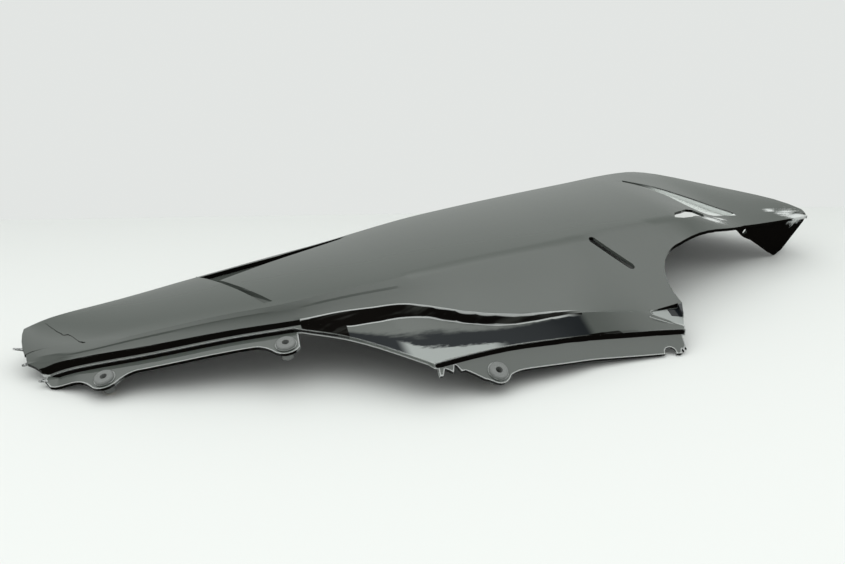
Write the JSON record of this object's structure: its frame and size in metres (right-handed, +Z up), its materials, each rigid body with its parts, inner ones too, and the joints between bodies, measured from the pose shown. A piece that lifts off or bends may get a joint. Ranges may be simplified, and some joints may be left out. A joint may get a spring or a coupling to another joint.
{
  "type": "motorcycle belly pan side panel",
  "caption": "One-side moulded belly pan panel: long wedge with a stepped mounting flange, scoop, arrow groove, cooling slot, arch cut-out and rubber well nuts in its lugs.",
  "frame": {"origin": "on the table under the middle of the part's box, outer face up", "axes": "+X along the panel from its narrow rear end to its tip, +Y across it away from the near flange, +Z up"},
  "size_m": [0.768, 0.3473, 0.0729],
  "materials": {
    "painted_shell": "gloss dark metallic paint over moulded ABS",
    "nut_rubber": "semi-matt moulded rubber",
    "insert_brass": "turned brass"
  },
  "bodies": {
    "root": {"side_panel": "painted_shell", "rear_well_nut": "nut_rubber", "rear_insert": "insert_brass", "middle_well_nut": "nut_rubber", "middle_insert": "insert_brass", "front_well_nut": "nut_rubber", "front_insert": "insert_brass"}
  },
  "joints": []
}
